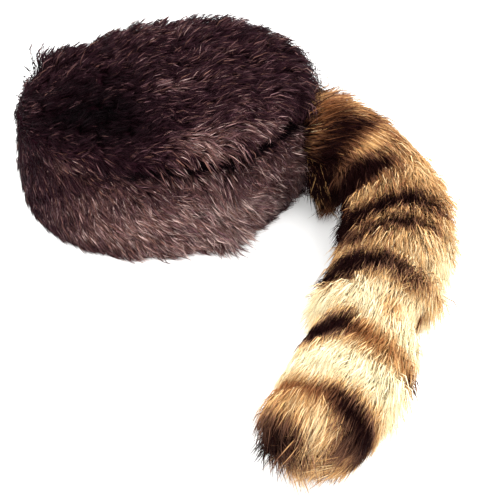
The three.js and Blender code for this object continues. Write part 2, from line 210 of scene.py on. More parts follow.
# Rings of the tail. Each is a line through its rows, from the tail's left side (0)
# over the top (90) to its right side (180). half is half the ring's length as a
# share of the tail's, and dark and warm are its colour. They are laid in the order
# of their numbers, so that ring 6 is the pale gap between rings 4 and 5.
RING_COLUMNS = ("ring", "angle", "along", "half", "dark", "warm")
RINGS = table(*RING_COLUMNS, rows=[
    (1, 76, 0.162, 0.008, 0.7, 0.5),
    (1, 92, 0.16, 0.017, 0.85, 0.4),
    (1, 106, 0.138, 0.03, 0.92, 0.4),
    (1, 120, 0.12, 0.044, 0.9, 0.5),
    (1, 160, 0.095, 0.06, 0.86, 0.5),
    (1, 215, 0.1, 0.06, 1, 0.1),
    (2, 86, 0.276, 0.006, 0.6, 0.5),
    (2, 104, 0.265, 0.018, 0.9, 0.3),
    (2, 125, 0.258, 0.043, 1, 0.05),
    (2, 150, 0.25, 0.065, 1, 0.05),
    (2, 175, 0.29, 0.11, 1, 0.05),
    (2, 215, 0.3, 0.12, 1, 0.05),
    (3, 38, 0.35, 0.004, 0.65, 0.6),
    (3, 98, 0.355, 0.005, 0.8, 0.3),
    (4, 25, 0.372, 0.005, 0.6, 0.6),
    (4, 50, 0.38, 0.013, 0.9, 0.3),
    (4, 80, 0.374, 0.018, 1, 0.1),
    (4, 105, 0.384, 0.022, 1, 0.05),
    (4, 130, 0.405, 0.033, 1, 0.05),
    (4, 155, 0.43, 0.05, 1, 0.05),
    (4, 205, 0.43, 0.055, 1, 0.05),
    (5, 10, 0.44, 0.004, 0.5, 0.7),
    (5, 50, 0.424, 0.01, 0.8, 0.4),
    (5, 80, 0.425, 0.014, 1, 0.1),
    (5, 100, 0.442, 0.016, 1, 0.05),
    (5, 120, 0.464, 0.013, 1, 0.05),
    (5, 142, 0.49, 0.014, 1, 0.05),
    (6, 30, 0.402, 0.005, 0.3, 0.5),
    (6, 80, 0.401, 0.007, 0.1, 0.6),
    (6, 100, 0.415, 0.008, 0.1, 0.6),
    (6, 122, 0.441, 0.006, 0.3, 0.6),
    (7, -20, 0.48, 0.005, 0.5, 0.7),
    (7, 15, 0.555, 0.006, 0.5, 0.7),
    (7, 40, 0.56, 0.012, 0.65, 0.5),
    (7, 60, 0.562, 0.022, 0.85, 0.3),
    (7, 85, 0.55, 0.023, 0.92, 0.2),
    (7, 110, 0.55, 0.03, 1, 0.05),
    (7, 130, 0.567, 0.042, 1, 0.05),
    (7, 152, 0.585, 0.032, 1, 0.05),
    (7, 205, 0.58, 0.03, 0.9, 0.1),
    (8, -25, 0.72, 0.03, 0.9, 0.2),
    (8, 5, 0.745, 0.022, 0.85, 0.4),
    (8, 25, 0.745, 0.016, 0.5, 0.85),
    (8, 55, 0.735, 0.032, 0.38, 0.95),
    (8, 80, 0.73, 0.034, 0.55, 0.9),
    (8, 94, 0.725, 0.032, 0.66, 0.75),
    (8, 108, 0.712, 0.036, 1, 0.05),
    (8, 125, 0.723, 0.038, 1, 0.05),
    (8, 142, 0.733, 0.036, 1, 0.05),
    (8, 190, 0.735, 0.03, 0.9, 0.2),
    (9, -10, 0.92, 0.03, 0.95, 0.1),
    (9, 12, 0.905, 0.03, 0.88, 0.1),
    (9, 30, 0.899, 0.034, 0.9, 0.05),
    (9, 50, 0.89, 0.034, 0.9, 0.05),
    (9, 68, 0.88, 0.032, 0.92, 0.1),
    (9, 86, 0.87, 0.02, 0.8, 0.5),
    (9, 120, 0.872, 0.018, 0.6, 0.9),
    (9, 165, 0.877, 0.02, 0.5, 0.9),
    (10, 74, 1.0, 0.018, 0.25, 0.6),
    (10, 95, 0.99, 0.028, 0.7, 0.15),
    (10, 110, 0.974, 0.04, 0.9, 0),
    (10, 140, 0.966, 0.042, 0.86, 0),
    (10, 175, 0.963, 0.042, 0.84, 0),
    (10, 225, 0.94, 0.045, 1, 0.05),
])

# Patches of the tail, laid over the ground before the rings. length and turn are
# their halves along the tail and round it.
PATCHES = table("along", "angle", "length", "turn", "dark", "warm", rows=[
    (0.075, 45, 0.03, 45, 0.5, 0.4),
    (0.08, 112, 0.024, 24, 0.72, 0.95),
    (0.26, 16, 0.1, 34, 0.22, 0.15),
    (0.195, 125, 0.022, 40, 0.22, 0.6),
    (0.335, 138, 0.022, 18, 0.14, 0.55),
    (0.31, 62, 0.04, 16, 0.22, 0.5),
    (0.47, 5, 0.1, 54, 0, 0.05),
    (0.64, 66, 0.03, 15, 0.3, 0.4),
    (0.61, 8, 0.03, 7, 0.85, 0.5),
    (0.935, 38, 0.034, 25, 0.68, 0),
    (0.99, 42, 0.032, 22, 0.72, 0),
    (0.94, 92, 0.03, 20, 0.08, 0.35),
])

# Plain rings on the tail's underside.
UNDER_RINGS = table(*RING_COLUMNS, rows=[
    (-number, angle, along, 0.026, 0.85, 0.3)
    for number, along in enumerate((0.14, 0.27, 0.4, 0.57, 0.75, 0.93), 1) for angle in (225, 312)
])

# The angle at which the tail's marks begin, and how far past its ends a ring fades,
# both in degrees.
FIRST_ANGLE = -40
RING_FADE = 9

# How much the tail's hairs differ: where they take their marks from, along it and
# in degrees round it, how dark they are between the rings, and in their colour.
TAIL_SPREAD = {"along": 0.003, "round": 3, "ground": 0.45, "dark": 0.05, "warm": 0.12}

# Where the root and the tip of a tail hair take their marks, as shares of its length.
MARKED_FROM, MARKED_TO = 0.22, 0.92

# The tail's hair stands off as the fur's table says this far ahead of its root.
FUR_AHEAD = 0.03

# A flap of fur that hangs from the root of the tail: its middle and radius, in mm.
LOBE = table("x", "y", "z", "radius", rows=[
    (115, -37, 52, 8),
    (118, -47, 43, 12),
    (119, -57, 33, 13),
    (119, -66, 24, 10),
    (117, -71, 19, 4),
])

# How far the cap's fur stands off at angles round it, in degrees, as shares of its rise.
CAP_FUR = table("angle", "full", rows=[
    (-180, 0.35),
    (-160, 0.45),
    (-145, 0.6),
    (-128, 0.6),
    (-110, 0.8),
    (-90, 1.1),
    (-75, 2),
    (-68, 1.6),
    (-62, 0.8),
    (-45, 0.75),
    (-4, 2.7),
    (18, 0.15),
    (32, 0.15),
    (48, 0.6),
    (60, 0.8),
    (70, 1),
    (80, 0.4),
    (90, 1),
    (102, 0.9),
    (112, 1.2),
    (119, 0.2),
    (127, 1.3),
    (142, 2),
    (149, 1.7),
    (155, 0.6),
])

# How full and long the cap's fur grows from row to row of the two profiles: puffed out
# over the seam on the panel, and tucked into the seam on the band.
PANEL_GROWTH = table("row", "full", "length", rows=[
    (0.5, 0.3, 0.3),
    (1.2, 0.8, 0.5),
    (2.2, 1.2, 0.9),
    (5, 1, 1),
])
BAND_GROWTH = table("row", "full", "length", rows=[
    (0, 0.9, 1),
    (3.6, 1, 1),
    (4.5, 0.4, 0.7),
    (5, 0.1, 0.5),
])

# Tones of the cap's fur: partly its own colour and partly painted light, with the front of
# the band painted lighter as if lit, the top panel's left darker as painted shade, and lighter
# hair ends along the panel's near edge as a painted highlight. x, y and z are shares of the
# rim's half length, half width and the seam's height, reach is in the same shares, shade is
# 0 for nearly black and 1 for the lightest brown, and warm is how reddish the hair is.
CAP_TONES_AND_PAINTED_LIGHT = table("x", "y", "z", "reach", "shade", "warm", rows=[
    (0.6, 0.3, 1.25, 0.5, 0.36, 0.45),
    (0.1, 0.85, 1.15, 0.3, 0.5, 0.5),
    (-0.5, -0.3, 1.2, 0.5, -0.05, 0.2),
    (-0.4, -0.95, 0.4, 0.5, 0.68, 0.65),
    (0.3, -0.95, 0.35, 0.55, 0.92, 0.35),
    (0.15, -0.8, 1.13, 0.22, 0.82, 0.6),
    (0.5, -0.66, 1.14, 0.2, 0.66, 0.5),
    (-0.75, -0.62, 0.95, 0.25, 0.5, 0.9),
    (0.88, -0.46, 0.65, 0.34, 0.8, 0.4),
    (-1.0, 0.1, 0.7, 0.3, 0.25, 0.8),
    (0.05, -0.15, 1.25, 0.24, 0.46, 0.35),
])

# Painted shadow in the seam's groove, where hair is set nearly black: in degrees round
# the cap, and its height and half its width as shares of the seam's height, with its shade.
GROOVE_FROM, GROOVE_TO = -115, -8
GROOVE_HEIGHT, GROOVE_HALF = 1.01, 0.06
GROOVE_PAINTED_SHADOW = 0.02

# Shade and warmth of the cap's fur outside of its tones.
PANEL_GROUND = (0.33, 0.4)
BAND_GROUND = (0.36, 0.35)

# How much the cap's hairs differ in shade and warmth, the share of pale hairs where
# the fur is darkest and where it is lightest, and how much lighter they are. The pale
# hairs are partly lighter hair and partly painted glints.
SHADE_SPREAD, WARM_SPREAD = 0.1, 0.35
PALE_SHARE = (0.025, 0.32)
PALE_LIFT = (0.15, 0.45)

# Cloudiness of the cap's shade, large and small: how strong it is, and its span.
CLOUDS = ((0.07, 26 * MM), (0.06, 10 * MM))

# How hair varies. clump_turn and own_turn turn clumps and hairs aside, drift wanders
# over each span, stray is the share of hairs that stand up, pull draws hair into its
# clump, sink is how deep its root is, droop lets its tip hang, and the others spread
# its size and rise.
CAP_HAIR = {
    "clump_turn": 0.3, "own_turn": 0.14, "clump_size": 0.15, "own_size": 0.2, "rise_spread": 0.35,
    "stray": 0.02, "tuft": 0.35, "pull": 0.4, "sink": 0.5 * MM, "droop": 0, "drift": 0.28, "span": 50 * MM,
}
TAIL_HAIR = {
    "clump_turn": 0.12, "own_turn": 0.09, "clump_size": 0.12, "own_size": 0.16, "rise_spread": 0.3,
    "stray": 0.02, "tuft": 0.3, "pull": 0.42, "sink": 1.5 * MM, "droop": 0.05, "drift": 0.1, "span": 110 * MM,
}
LOBE_HAIR = {**TAIL_HAIR, "clump_turn": 0.2, "pull": 0.6}


# Colours and sizes that a user would change


def linear(code):
    """An sRGB hex colour as linear red, green and blue."""
    shares = [int(code[i:i + 2], 16) / 255 for i in (1, 3, 5)]
    return tuple(c / 12.92 if c <= 0.04045 else ((c + 0.055) / 1.055) ** 2.4 for c in shares)


def length(name, description, default):
    return FloatProperty(
        name=name, description=description, default=default, min=0, subtype="DISTANCE", unit="LENGTH",
    )


def colour(name, description, code):
    return FloatVectorProperty(
        name=name, description=description, default=linear(code), subtype="COLOR", size=3, min=0, max=1,
    )


def number(name, description, default):
    return FloatProperty(name=name, description=description, default=default)


def amount(name, description, default):
    return IntProperty(name=name, description=description, default=default, min=0)


class CapSizes(bpy.types.PropertyGroup):
    rim_length: length("Rim length", "Front to back over the hide at the rim", 216 * MM)
    rim_width: length("Rim width", "Side to side over the hide at the rim", 168 * MM)
    seam_height: length("Seam height", "Height of the seam round the top panel", 78 * MM)
    crown_rise: length("Crown rise", "How far the dome stands over the seam", 18 * MM)
    panel_bulge: length("Panel bulge", "How far the top panel swells over the seam", 4.5 * MM)
    hide_thickness: length("Hide thickness", "Thickness of the tanned hide", 2.4 * MM)
    seam_allowance: length("Seam allowance", "Edge of the top panel turned down inside", 7 * MM)
    seam_gap: length("Seam gap", "Room between the two hides at the seam", 0.3 * MM)
    fur_depth: length("Fur depth", "How far the cap's fur stands off the hide", 12 * MM)
    oval_power: number("Oval power", "2 is an ellipse, and more is squarer", 2.1)
    slouch: number("Slouch", "How much lower the front stands", 0.1)


class TailSizes(bpy.types.PropertyGroup):
    length: length("Length", "From the root to the tip of the core", 338 * MM)
    width: length("Width", "Width of the core without its fur", 63 * MM)
    height: length("Height", "Height of the core without its fur", 54 * MM)
    root_height: length("Root height", "Height at which the tail is sewn on", 58 * MM)
    fur_under: length("Fur under", "Depth of fur that the tail lies on", 13.5 * MM)
    root_angle: number("Root angle", "Place of the root round the band, in degrees", -26)


class FurSizes(bpy.types.PropertyGroup):
    cap_length: length("Cap hair length", "Length of the cap's hair", 11 * MM)
    cap_width: length("Cap hair width", "Width of one tuft of the cap's hair", 0.56 * MM)
    cap_rise: length("Cap hair rise", "Height of the cap's hair over the hide", 5 * MM)
    cap_clump: length("Cap clump", "Distance between the middles of clumps", 5 * MM)
    tail_length: length("Tail hair length", "Length of the tail's hair", 20 * MM)
    tail_width: length("Tail hair width", "Width of one tuft of the tail's hair", 0.62 * MM)
    tail_rise: length("Tail hair rise", "Height of the tail's hair over the core", 8.5 * MM)
    tail_clump: length("Tail clump", "Distance between the middles of clumps", 6 * MM)
    cap_hairs: amount("Cap hairs", "Tufts in each coat of the cap", 32000)
    tail_hairs: amount("Tail hairs", "Tufts in each coat of the tail", 30500)
    lobe_hairs: amount("Lobe hairs", "Tufts on the flap at the root of the tail", 3500)
    seed: amount("Seed", "Start of the random numbers", 7)


class FurColours(bpy.types.PropertyGroup):
    cap_black: colour("Cap black", "Darkest hair of the cap", "#080305")
    cap_dark: colour("Cap dark", "Dark hair of the cap", "#2c161d")
    cap_brown: colour("Cap brown", "Middle hair of the cap", "#79565b")
    cap_pale: colour("Cap pale", "Lightest hair of the cap", "#d2b4ac")
    cap_rust: colour("Cap rust", "Reddish hair of the cap", "#8c6152")
    tail_cream: colour("Tail cream", "Lightest hair of the tail", "#fff3cc")
    tail_gold: colour("Tail gold", "Golden hair of the tail", "#e8b878")
    tail_rust: colour("Tail rust", "Orange brown hair of the tail", "#92562a")
    tail_umber: colour("Tail umber", "Grey brown hair of the tail", "#7b5745")
    tail_black: colour("Tail black", "Darkest hair of the tail", "#180707")
    flesh_side: colour("Flesh side", "Inside of the tanned hide", "#c9ab86")


class StageLook(bpy.types.PropertyGroup):
    floor: colour("Floor", "Colour of the floor", "#fbfbfa")
    key_power: number("Key light", "Power of the large light, in watts", 13)
    sky: number("Sky", "Strength of the soft light from all round", 2.7)
    camera_azimuth: number("Camera azimuth", "In degrees round the cap", -18.12)
    camera_elevation: number("Camera elevation", "In degrees above the floor", 50.86)
    camera_roll: number("Camera roll", "In degrees about the view", 4.38)
    camera_distance: length("Camera distance", "From the point it looks at", 758.2 * MM)
    camera_lens: number("Camera lens", "Focal length on a 36 mm sensor", 76.37)


class FurCapSettings(bpy.types.PropertyGroup):
    cap: PointerProperty(type=CapSizes)
    tail: PointerProperty(type=TailSizes)
    fur: PointerProperty(type=FurSizes)
    colours: PointerProperty(type=FurColours)
    stage: PointerProperty(type=StageLook)


# Surfaces of the hides, each a function of an angle round it and a row of its table


def mix(a, b, t):
    return a + (b - a) * t


def column(rows, key):
    return np.array([row[key] for row in rows], float)


def read_table(rows, key, at):
    """A table read at places between its rows, on a smooth curve through them."""
    values = column(rows, key)
    last = len(values) - 1
    span = np.clip(at, 0, last)
    i = np.minimum(span.astype(int), last - 1)
    t = span - i
    a, b, c, d = (values[np.clip(i + k, 0, last)] for k in (-1, 0, 1, 2))
    slope_in, slope_out = (c - a) / 2, (d - b) / 2
    return ((2 * t**3 - 3 * t**2 + 1) * b + (t**3 - 2 * t**2 + t) * slope_in
            + (3 * t**2 - 2 * t**3) * c + (t**3 - t**2) * slope_out)


def read_all(rows, at):
    """Every column of a table, in order, read in the same way."""
    return [read_table(rows, key, at) for key in rows[0]]


def row_at(rows, key, value):
    return np.interp(value, column(rows, key), np.arange(len(rows)))


def points(x, y, z):
    return np.stack(np.broadcast_arrays(x, y, z), axis=-1)


def unit(vectors):
    return vectors / np.maximum(np.linalg.norm(vectors, axis=-1, keepdims=True), 1e-12)


def dot(a, b):
    return (a * b).sum(-1, keepdims=True)


def oval(cap, angle, half_length, half_width, height):
    bend = 2 / cap.oval_power
    c, s = np.cos(angle), np.sin(angle)
    return points(
        half_length * np.sign(c) * np.abs(c) ** bend,
        half_width * np.sign(s) * np.abs(s) ** bend,
        height,
    )


def settle(cap, place):
    """The cap stands lower at the front and has soft dents."""
    x, y, z = place[..., 0], place[..., 1], place[..., 2]
    angle = np.arctan2(y / cap.rim_width, x / cap.rim_length)
    push = np.zeros_like(x)
    for dent in DENTS:
        away = np.abs(angle - math.radians(dent["angle"]))
        turn = np.minimum(away, TAU - away) / math.radians(dent["turn"])
        climb = (z / cap.seam_height - dent["height"]) / dent["band"]
        push += dent["depth"] * cap.fur_depth * np.exp(-turn**2 - climb**2)
    outward = unit(points(x, y, 0 * z))
    settled = place - outward * push[..., None]
    settled[..., 2] *= 1 + cap.slouch * 2 * settled[..., 0] / cap.rim_length
    return settled


def band_surface(cap):
    def surface(angle, row):
        height, along, across = read_all(BAND_PROFILE, row)
        halves = along * cap.rim_length / 2, across * cap.rim_width / 2
        return settle(cap, oval(cap, angle, *halves, height * cap.seam_height))
    return surface


def seam_halves(cap):
    seam = BAND_PROFILE[-1]
    return seam["length"] * cap.rim_length / 2, seam["width"] * cap.rim_width / 2


def panel_surface(cap):
    def surface(angle, row):
        spread, reach, rise = read_all(PANEL_PROFILE, row)
        halves = (half * reach + spread * cap.panel_bulge for half in seam_halves(cap))
        return settle(cap, oval(cap, angle, *halves, cap.seam_height + rise * cap.crown_rise))
    return surface


def tail_line(cap, tail):
    """The middle of the tail's core: shares along it, and their x and y."""
    shares = np.linspace(0, TAIL_SECTIONS[-1]["along"], 400)
    middles = (shares[1:] + shares[:-1]) / 2
    heading = np.radians(read_table(TAIL_SECTIONS, "heading", row_at(TAIL_SECTIONS, "along", middles)))
    stride = shares[1] * tail.length
    root_row = row_at(BAND_PROFILE, "height", tail.root_height / cap.seam_height)
    root = band_surface(cap)(np.array(math.radians(tail.root_angle)), np.array(root_row))
    x = root[0] + np.concatenate([[0], np.cumsum(np.cos(heading) * stride)])
    y = root[1] + np.concatenate([[0], np.cumsum(np.sin(heading) * stride)])
    return shares, x, y


def tail_surface(cap, tail):
    shares, x, y = tail_line(cap, tail)

    def surface(angle, row):
        along, heading, width, height, perch = read_all(TAIL_SECTIONS, row)
        heading = np.radians(heading)
        across = width * tail.width / 2 * np.cos(angle)
        middle = mix(tail.height / 2 + tail.fur_under, tail.root_height, perch)
        return points(
            np.interp(along, shares, x) - np.sin(heading) * across,
            np.interp(along, shares, y) + np.cos(heading) * across,
            middle + height * tail.height / 2 * np.sin(angle),
        )
    return surface


def way_of(heading):
    return points(np.cos(heading), np.sin(heading), 0)


def lobe_surface():
    ends = np.array([[row[key] for key in "xyz"] for row in (LOBE[0], LOBE[-1])]) * MM
    onward = unit(ends[1] - ends[0])
    left = unit(np.cross([0, 0, 1], onward))
    over = np.cross(onward, left)

    def surface(angle, row):
        x, y, z, radius = read_all(LOBE, row)
        angle = np.asarray(angle)[..., None]
        out = left * np.cos(angle) + over * np.sin(angle)
        return points(x, y, z) * MM + radius[..., None] * MM * out
    return surface


# Hides, drawn up ring by ring


def deselect():
    if bpy.context.mode != "OBJECT":
        bpy.ops.object.mode_set(mode="OBJECT")
    bpy.ops.object.select_all(action="DESELECT")


def place_ring(piece, ring):
    """Moves the selected vertices to a ring, each to the angle that it carries."""
    mesh = bmesh.from_edit_mesh(piece.data)
    turn = mesh.verts.layers.float["turn"]
    chosen = [v for v in mesh.verts if v.select]
    places = ring(np.array([v[turn] for v in chosen]))
    for vertex, place in zip(chosen, places):
        vertex.co = place
    bmesh.update_edit_mesh(piece.data)


def draw_up(name, rings, segments):
    """A sheet drawn up from a circle, with one extrusion for each further ring."""
    deselect()
    bpy.ops.mesh.primitive_circle_add(vertices=segments, radius=0.1, location=(0, 0, 0))
    piece = bpy.context.object
    piece.name = piece.data.name = name
    bpy.ops.object.mode_set(mode="EDIT")
    mesh = bmesh.from_edit_mesh(piece.data)
    turn = mesh.verts.layers.float.new("turn")
    for vertex in mesh.verts:
        vertex[turn] = math.atan2(vertex.co.y, vertex.co.x)
    bmesh.update_edit_mesh(piece.data)
    place_ring(piece, rings[0])
    for ring in rings[1:]:
        bpy.ops.mesh.extrude_region_move()
        place_ring(piece, ring)
    bpy.ops.mesh.select_all(action="SELECT")
    bpy.ops.mesh.remove_doubles(threshold=0.01 * MM)
    bpy.ops.mesh.normals_make_consistent(inside=False)
    bpy.ops.object.mode_set(mode="OBJECT")
    bpy.ops.object.shade_smooth_by_angle(angle=math.radians(50))
    return piece


def rings_of(surface, first, last, count):
    """Rings spread over a surface, each a function of the angles round it."""
    rows = np.linspace(first, last, count)
    return [lambda angle, row=row: surface(angle, np.full_like(angle, row)) for row in rows]


def thicken(piece, thickness, inner_slot):
    """Gives a sheet the thickness of a hide, inwards, with its own material inside."""
    solidify = piece.modifiers.new("Hide", "SOLIDIFY")
    solidify.thickness = thickness
    solidify.offset = -1
    solidify.use_even_offset = True
    solidify.material_offset = inner_slot
    solidify.material_offset_rim = inner_slot
    bpy.ops.object.modifier_apply(modifier=solidify.name)


def finish_piece(piece, materials, node, slot):
    for material in materials:
        piece.data.materials.append(material)
    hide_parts(node)
    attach(piece, "root")


# Fur


def scatter(surface, first_row, last_row, count):
    """Places spread evenly over a surface, by the areas of a grid on it, as angles and rows."""
    rows, columns = 181, 241
    angles = np.linspace(0, TAU, columns)
    grid = surface(angles[None, :], np.linspace(first_row, last_row, rows)[:, None])
    across = grid[:-1, 1:] - grid[:-1, :-1]
    onward = grid[1:, :-1] - grid[:-1, :-1]
    area = np.linalg.norm(np.cross(across, onward), axis=-1)
    down, round_it = (np.arange(1, count + 1) * step % 1 for step in EVEN_STEPS)
    by_row = np.concatenate([[0], np.cumsum(area.sum(1))])
    by_row /= by_row[-1]
    place = np.interp(down, by_row, np.arange(len(by_row)))
    i = np.minimum(place.astype(int), len(area) - 1)
    shares = np.cumsum(area, axis=1)
    shares = shares / shares[:, -1:]
    flat = (shares + np.arange(len(area))[:, None]).ravel()
    cell = np.searchsorted(flat, i + round_it) - i * area.shape[1]
    cell = np.clip(cell, 0, area.shape[1] - 1)
    before = np.where(cell > 0, shares[i, cell - 1], 0)
    within = (round_it - before) / np.maximum(shares[i, cell] - before, 1e-12)
    angle = (cell + np.clip(within, 0, 1)) / area.shape[1] * TAU
    return angle, mix(first_row, last_row, place / len(area))


def plant(surface, rows, count, coat=0):
    """Roots of a coat: their angles and rows, their places, and the ways out and onward there."""
    angle, row = scatter(surface, *rows, count)
    angle = angle + coat * COAT_TURN
    step = 0.01
    around = surface(angle + step, row) - surface(angle - step, row)
    onward = surface(angle, row + step) - surface(angle, row - step)
    return angle, row, surface(angle, row), unit(np.cross(around, onward)), unit(onward)


def nearest(tree, places):
    found = [tree.find_nearest(place) for place in places]
    return np.array([hit[0] for hit in found]), np.array([hit[1] for hit in found])


def clump_of(roots, spacing, rng):
    """For each root its clump: a number, and the place of the clump's middle."""
    order = rng.permutation(len(roots))
    tree = KDTree(len(roots))
    chosen = []
    hairs_each = max(1, int(len(roots) / max(1, clump_count(roots, spacing))))
    for k in order[::hairs_each]:
        tree.insert(roots[k], len(chosen))
        chosen.append(roots[k])
    tree.balance()
    number = np.array([tree.find(root)[1] for root in roots])
    return number, np.array(chosen)[number]


def clump_count(roots, spacing):
    """How many clumps a coat has, from the room that its roots take up."""
    probes, neighbours = 400, 8
    tree = KDTree(len(roots))
    for k, root in enumerate(roots):
        tree.insert(root, k)
    tree.balance()
    reach = np.array([tree.find_n(root, neighbours + 1)[-1][2] for root in roots[:probes]])
    density = neighbours / (math.pi * np.median(reach) ** 2)
    return int(len(roots) / density / spacing**2)


def drift(places, span):
    """A slow, smooth wandering over a coat, by waves that are out of step with one another."""
    x, y, z = (places[:, k] * TAU / span for k in range(3))
    return points(
        np.sin(0.9 * y + 0.6 * z + 1.3) + 0.6 * np.sin(1.9 * x - 1.1 * y),
        np.sin(1.1 * x - 0.7 * z + 0.4) + 0.6 * np.sin(2.1 * y + 1.3 * z),
        np.sin(0.8 * x + 1.2 * y + 2.2) + 0.6 * np.sin(1.7 * z - 1.5 * x),
    )


def tail_shape(fur, hair):
    return {"length": fur.tail_length, "rise": fur.tail_rise, "clump": fur.tail_clump, **hair}


def hair_paths(roots, normals, flow, shape, rng, skin=None, hold=1, fullness=1, stretch=1):
    """Root, bend and tip of each hair, as (hair, point, 3).

    hold is how closely a hair keeps to the skin, and fullness and stretch are
    shares of its rise and its length.
    """
    hold, fullness, stretch = (np.reshape(share, (-1, 1)) for share in (hold, fullness, stretch))
    count = len(roots)
    number, middle = clump_of(roots, shape["clump"], rng)
    clumps = number.max() + 1
    clump_turn = rng.normal(size=(clumps, 3)) * shape["clump_turn"]
    clump_size = rng.normal(1, shape["clump_size"], clumps)
    own_turn = rng.normal(size=(count, 3)) * shape["own_turn"]
    stray = (rng.random(count) < shape["stray"])[:, None]
    bent = flow + drift(roots, shape["span"]) * shape["drift"] + clump_turn[number] + own_turn
    bent = unit(bent - normals * dot(bent, normals))
    size = np.clip(rng.normal(1, shape["own_size"], count) * clump_size[number], *SIZE_LIMITS)[:, None]
    reach = shape["length"] * size * stretch
    tuft = np.clip(rng.normal(1, shape["tuft"], clumps), *TUFT_LIMITS)[number][:, None]
    own_rise = np.clip(rng.normal(1, shape["rise_spread"], (count, 1)), *RISE_LIMITS)
    rise = np.where(stray, STRAY_RISE, own_rise * size * tuft) * shape["rise"] * fullness
    inward = middle - roots
    path = [roots - normals * shape["sink"]]
    place, up, way = roots, normals, bent
    for t, before in ((BEND, 0), (1, BEND)):
        place = place + way * reach * (t - before)
        if skin is not None:
            on_skin, skin_up = nearest(skin, place)
            place, up = mix(place, on_skin, hold), unit(mix(up, skin_up, hold))
            way = unit(way - up * dot(way, up))
        lift = rise * (1 - (1 - t) ** 2) - shape["droop"] * reach * t * t
        path.append(place + up * lift + inward * shape["pull"] * t**1.5)
    paths = np.stack(path, axis=1)
    paths[..., 2] = np.maximum(paths[..., 2], FLOOR_ROOM * (1 + rng.random((count, 1))))
    return paths


def write_attribute(mesh, key, values):
    mesh.attributes.new(key, "FLOAT", "POINT").data.foreach_set("value", values.astype(np.float32).ravel())


def hair_mesh(name, paths, width, rng, attributes):
    """All hairs as one mesh: each a closed three-sided spindle, bent at its widest place."""
    count = len(paths)
    width = width * np.clip(rng.normal(1, WIDTH_SPREAD, (count, 1)), *WIDTH_LIMITS)
    tone = rng.random(count)
    root, bend, tip = paths[:, 0], paths[:, 1], paths[:, 2]
    side = unit(np.cross(tip - root, rng.normal(size=(count, 3))))
    over = unit(np.cross(tip - root, side))
    turns = [TAU * k / 3 for k in range(3)]
    waist = [bend + (side * math.cos(turn) + over * math.sin(turn)) * width / 2 for turn in turns]
    verts = np.stack([root, *waist, tip], axis=1)
    pairs = [(1, 2), (2, 3), (3, 1)]
    faces = np.array([(0, b, a) for a, b in pairs] + [(4, a, b) for a, b in pairs])
    corner = (faces[None] + np.arange(count)[:, None, None] * len(KNOTS)).reshape(-1)
    mesh = bpy.data.meshes.new(name)
    mesh.vertices.add(count * len(KNOTS))
    mesh.vertices.foreach_set("co", verts.astype(np.float32).ravel())
    mesh.loops.add(len(corner))
    mesh.loops.foreach_set("vertex_index", corner.astype(np.int32))
    mesh.polygons.add(count * len(faces))
    mesh.polygons.foreach_set("loop_start", np.arange(count * len(faces), dtype=np.int32) * 3)
    mesh.update(calc_edges=True)
    mesh.polygons.foreach_set("use_smooth", np.ones(count * len(faces), bool))
    for key, value in {"along": np.tile(KNOTS, (count, 1)), **attributes, "tone": tone}.items():
        each = value if value.ndim == 2 else value[:, None]
        write_attribute(mesh, key, np.broadcast_to(each, (count, len(KNOTS))))
    lay_out_cells(mesh, count, faces)
    mesh.update()
    piece = bpy.data.objects.new(name, mesh)
    bpy.context.collection.objects.link(piece)
    return piece


def lay_out_cells(mesh, count, faces):
    """A UV map in which each hair has a small upright cell of its own."""
    columns = math.ceil(math.sqrt(count * CELL_SHAPE))
    rows = math.ceil(count / columns)
    hair = np.arange(count)
    left, low = hair % columns, hair // columns
    side = np.array([0.5, 0, 0.5, 1, 0.5])
    u = CELL_MARGIN + (1 - 2 * CELL_MARGIN) * side[faces]
    v = CELL_MARGIN / 2 + (1 - CELL_MARGIN) * KNOTS[faces]
    u = (left[:, None, None] + u[None]) / columns
    v = (low[:, None, None] + v[None]) / rows
    layer = mesh.uv_layers.new(name="OFBake")
    layer.data.foreach_set("uv", np.stack([u, v], axis=-1).astype(np.float32).ravel())


# Finishes


def add_node(tree, kind, settings=None, links=None, stops=()):
    """Adds a node with its settings, the links that come into it and the stops of its ramp."""
    node = tree.nodes.new(kind)
    for key, value in (settings or {}).items():
        if key in node.inputs:
            node.inputs[key].default_value = value
        else:
            setattr(node, key, value)
    for key, source in (links or {}).items():
        tree.links.new(source, node.inputs[key])
    for _ in stops[2:]:
        node.color_ramp.elements.new(0.5)
    for k, (place, tint) in enumerate(stops):
        node.color_ramp.elements[k].position = place
        node.color_ramp.elements[k].color = (*tint, 1)
    return node


def new_material(name, settings):
    """A material with its shader, whose sockets get the settings."""
    material = bpy.data.materials.new(name)
    material.use_nodes = True
    tree = material.node_tree
    tree.nodes.clear()
    shader = add_node(tree, "ShaderNodeBsdfPrincipled", settings)
    output = add_node(tree, "ShaderNodeOutputMaterial")
    tree.links.new(shader.outputs["BSDF"], output.inputs["Surface"])
    return material, tree, shader


